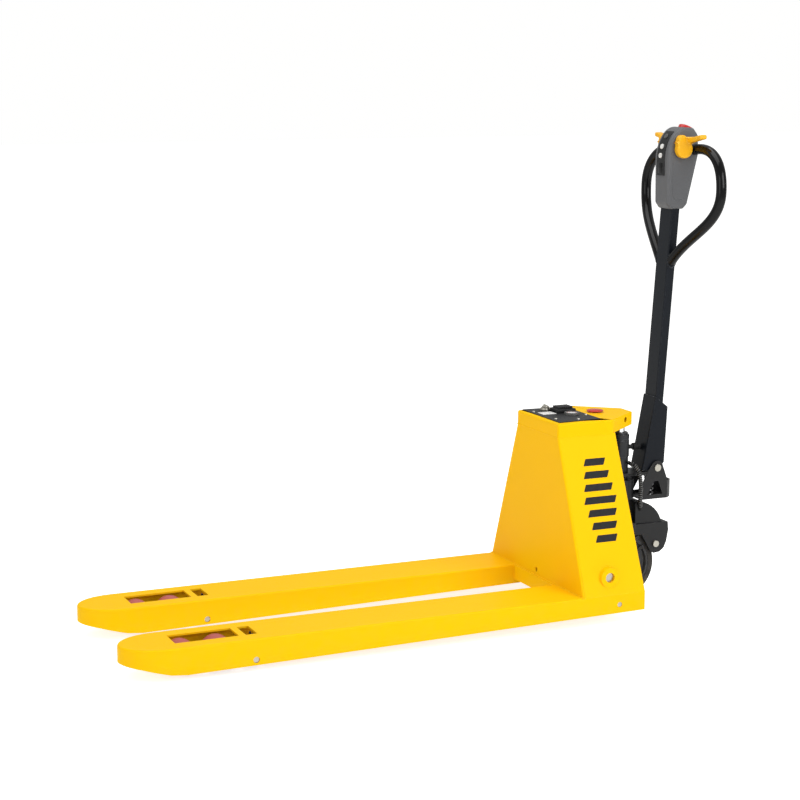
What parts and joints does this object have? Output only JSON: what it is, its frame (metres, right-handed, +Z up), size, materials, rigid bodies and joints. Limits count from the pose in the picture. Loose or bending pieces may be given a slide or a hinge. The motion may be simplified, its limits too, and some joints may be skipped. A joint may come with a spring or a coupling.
{
  "type": "electric pallet truck",
  "caption": "Walk-behind electric pallet truck with two forks on load rollers, a sloping steel cowl, a steered drive wheel and a spring-returned tiller with a looped handle.",
  "frame": {"origin": "on the floor, under the middle of the truck's length and width", "axes": "+X along the forks towards the operator, +Y to the operator's right when facing the forks, +Z up"},
  "size_m": [1.685, 0.54, 1.2929],
  "materials": {
    "yellow_paint": "semi-gloss powder coat",
    "black_paint": "satin powder coat",
    "slate_paint": "satin powder coat",
    "gloss_black": "gloss",
    "zinc_steel": "bright zinc plate",
    "spring_steel": "satin",
    "chrome": "polished",
    "column_steel": "satin",
    "red_polyurethane": "satin",
    "tyre_polyurethane": "satin",
    "cast_metal": "cast",
    "motor_grey": "satin",
    "black_plastic": "matte",
    "black_rubber": "matte",
    "grey_plastic": "fine texture",
    "yellow_plastic": "gloss",
    "red_plastic": "gloss",
    "white_plastic": "gloss"
  },
  "bodies": {
    "chassis": {"fork_left": "yellow_paint", "fork_right": "yellow_paint", "cross_member": "yellow_paint", "front_plate": "yellow_paint", "side_plate_left": "yellow_paint", "side_plate_right": "yellow_paint", "top_plate": "yellow_paint", "rear_bracket": "yellow_paint", "equipment_tray": "black_paint", "rocker_shaft": "zinc_steel", "leg_pins": "zinc_steel", "battery_pack": "black_plastic", "motor_controller": "motor_grey", "hydraulic_tank": "black_plastic", "pump_motor": "motor_grey", "top_panel": "black_plastic", "panel_screws": "zinc_steel", "power_connector": "black_plastic", "battery_gauge": "grey_plastic", "key_switch": "grey_plastic", "estop_collar": "yellow_plastic", "lift_ram": "chrome"},
    "key": {"key": "zinc_steel"},
    "estop": {"estop_button": "red_plastic"},
    "rocker": {"rocker": "black_paint"},
    "rod_left": {"push_rod_left": "black_paint"},
    "rod_right": {"push_rod_right": "black_paint"},
    "leg_left": {"leg_left": "black_paint"},
    "leg_right": {"leg_right": "black_paint"},
    "bogie_left": {"bogie_left": "black_paint"},
    "bogie_right": {"bogie_right": "black_paint"},
    "roller_left_front": {"roller_left_front": "red_polyurethane"},
    "roller_left_rear": {"roller_left_rear": "red_polyurethane"},
    "roller_right_front": {"roller_right_front": "red_polyurethane"},
    "roller_right_rear": {"roller_right_rear": "red_polyurethane"},
    "carriage": {"carriage": "black_paint"},
    "steering": {"steer_column": "column_steel", "gland": "column_steel", "drive_yoke": "black_paint", "gearbox": "cast_metal", "traction_motor": "motor_grey", "motor_hood": "black_paint", "pivot_bracket": "black_paint", "pivot_pins": "zinc_steel", "return_spring": "spring_steel", "loom": "black_rubber", "bumper": "black_rubber", "wheel_axle": "zinc_steel"},
    "drive_wheel": {"drive_tyre": "tyre_polyurethane", "drive_hub": "cast_metal"},
    "tiller": {"tiller_bracket": "slate_paint", "tiller_stem": "slate_paint", "handle_loop": "gloss_black", "head_shell": "grey_plastic", "control_strip": "black_plastic"},
    "throttle": {"throttle_lever": "yellow_plastic"},
    "belly": {"belly_button": "red_plastic"},
    "up_button": {"button_up": "white_plastic"},
    "down_button": {"button_down": "white_plastic"},
    "horn_button": {"button_horn": "white_plastic"}
  },
  "joints": [
    {"name": "lift", "type": "slide", "parent": "chassis", "child": "carriage", "axis": [0, 0, -1], "range_m": [0, 0.115]},
    {"name": "rocker_turn", "type": "hinge", "parent": "chassis", "child": "rocker", "pos_m": [0.463, 0, 0.13], "axis": [0, 1, 0], "range_deg": [0, 53.99]},
    {"name": "rod_left_slide", "type": "slide", "parent": "chassis", "child": "rod_left", "axis": [-1, 0, 0], "range_m": [0, 0.0428]},
    {"name": "leg_left_swing", "type": "hinge", "parent": "chassis", "child": "leg_left", "pos_m": [-0.5176, -0.191, 0.0322], "axis": [0, -1, 0], "range_deg": [0, 67.67]},
    {"name": "bogie_left_level", "type": "hinge", "parent": "leg_left", "child": "bogie_left", "pos_m": [-0.63675, -0.191, 0.04], "axis": [0, 1, 0], "range_deg": [0, 67.67]},
    {"name": "roller_left_front_spin", "type": "hinge", "parent": "bogie_left", "child": "roller_left_front", "pos_m": [-0.68275, -0.191, 0.04], "axis": [0, 1, 0], "continuous": true},
    {"name": "roller_left_rear_spin", "type": "hinge", "parent": "bogie_left", "child": "roller_left_rear", "pos_m": [-0.59074, -0.191, 0.04], "axis": [0, 1, 0], "continuous": true},
    {"name": "rod_right_slide", "type": "slide", "parent": "chassis", "child": "rod_right", "axis": [-1, 0, 0], "range_m": [0, 0.0428]},
    {"name": "leg_right_swing", "type": "hinge", "parent": "chassis", "child": "leg_right", "pos_m": [-0.5176, 0.191, 0.0322], "axis": [0, -1, 0], "range_deg": [0, 67.67]},
    {"name": "bogie_right_level", "type": "hinge", "parent": "leg_right", "child": "bogie_right", "pos_m": [-0.63675, 0.191, 0.04], "axis": [0, 1, 0], "range_deg": [0, 67.67]},
    {"name": "roller_right_front_spin", "type": "hinge", "parent": "bogie_right", "child": "roller_right_front", "pos_m": [-0.68275, 0.191, 0.04], "axis": [0, 1, 0], "continuous": true},
    {"name": "roller_right_rear_spin", "type": "hinge", "parent": "bogie_right", "child": "roller_right_rear", "pos_m": [-0.59074, 0.191, 0.04], "axis": [0, 1, 0], "continuous": true},
    {"name": "steer", "type": "hinge", "parent": "carriage", "child": "steering", "pos_m": [0.635, 0, 0.3], "axis": [0, 0, 1], "range_deg": [-85, 85]},
    {"name": "drive_wheel_spin", "type": "hinge", "parent": "steering", "child": "drive_wheel", "pos_m": [0.635, 0, 0.095], "axis": [0, 1, 0], "continuous": true},
    {"name": "tiller_tilt", "type": "hinge", "parent": "steering", "child": "tiller", "pos_m": [0.7326, 0, 0.359], "axis": [0, 1, 0], "range_deg": [0, 80], "stiffness_Nm_per_rad": 35, "springref_deg": -34.38, "deforming": ["return_spring"]},
    {"name": "throttle_turn", "type": "hinge", "parent": "tiller", "child": "throttle", "pos_m": [0.789, 0, 1.227], "axis": [0, 1, 0], "range_deg": [-12, 12], "stiffness_Nm_per_rad": 0.6},
    {"name": "belly_press", "type": "slide", "parent": "tiller", "child": "belly", "axis": [-0.4067, 0, -0.9135], "range_m": [0, 0.006], "stiffness_N_per_m": 500, "springref_m": -0.002},
    {"name": "down_press", "type": "slide", "parent": "tiller", "child": "down_button", "axis": [0.9953, 0, -0.0963], "range_m": [0, 0.003], "stiffness_N_per_m": 400, "springref_m": -0.002},
    {"name": "up_press", "type": "slide", "parent": "tiller", "child": "up_button", "axis": [0.9617, 0, -0.2741], "range_m": [0, 0.003], "stiffness_N_per_m": 400, "springref_m": -0.002},
    {"name": "horn_press", "type": "slide", "parent": "tiller", "child": "horn_button", "axis": [0.845, 0, -0.5347], "range_m": [0, 0.003], "stiffness_N_per_m": 400, "springref_m": -0.002},
    {"name": "key_turn", "type": "hinge", "parent": "chassis", "child": "key", "pos_m": [0.444, 0.076, 0.525], "axis": [0, 0, 1], "range_deg": [0, 90]},
    {"name": "estop_press", "type": "slide", "parent": "chassis", "child": "estop", "axis": [0, 0, -1], "range_m": [0, 0.002], "stiffness_N_per_m": 600, "springref_m": -0.002}
  ],
  "couplings": [
    {"joint": "rocker_turn", "follows": "lift", "rad_per_m": 8.1861},
    {"joint": "rod_left_slide", "follows": "lift", "ratio": 0.3713},
    {"joint": "leg_left_swing", "follows": "lift", "rad_per_m": 10.262},
    {"joint": "bogie_left_level", "follows": "lift", "rad_per_m": 10.262},
    {"joint": "rod_right_slide", "follows": "lift", "ratio": 0.3713},
    {"joint": "leg_right_swing", "follows": "lift", "rad_per_m": 10.262},
    {"joint": "bogie_right_level", "follows": "lift", "rad_per_m": 10.262}
  ]
}
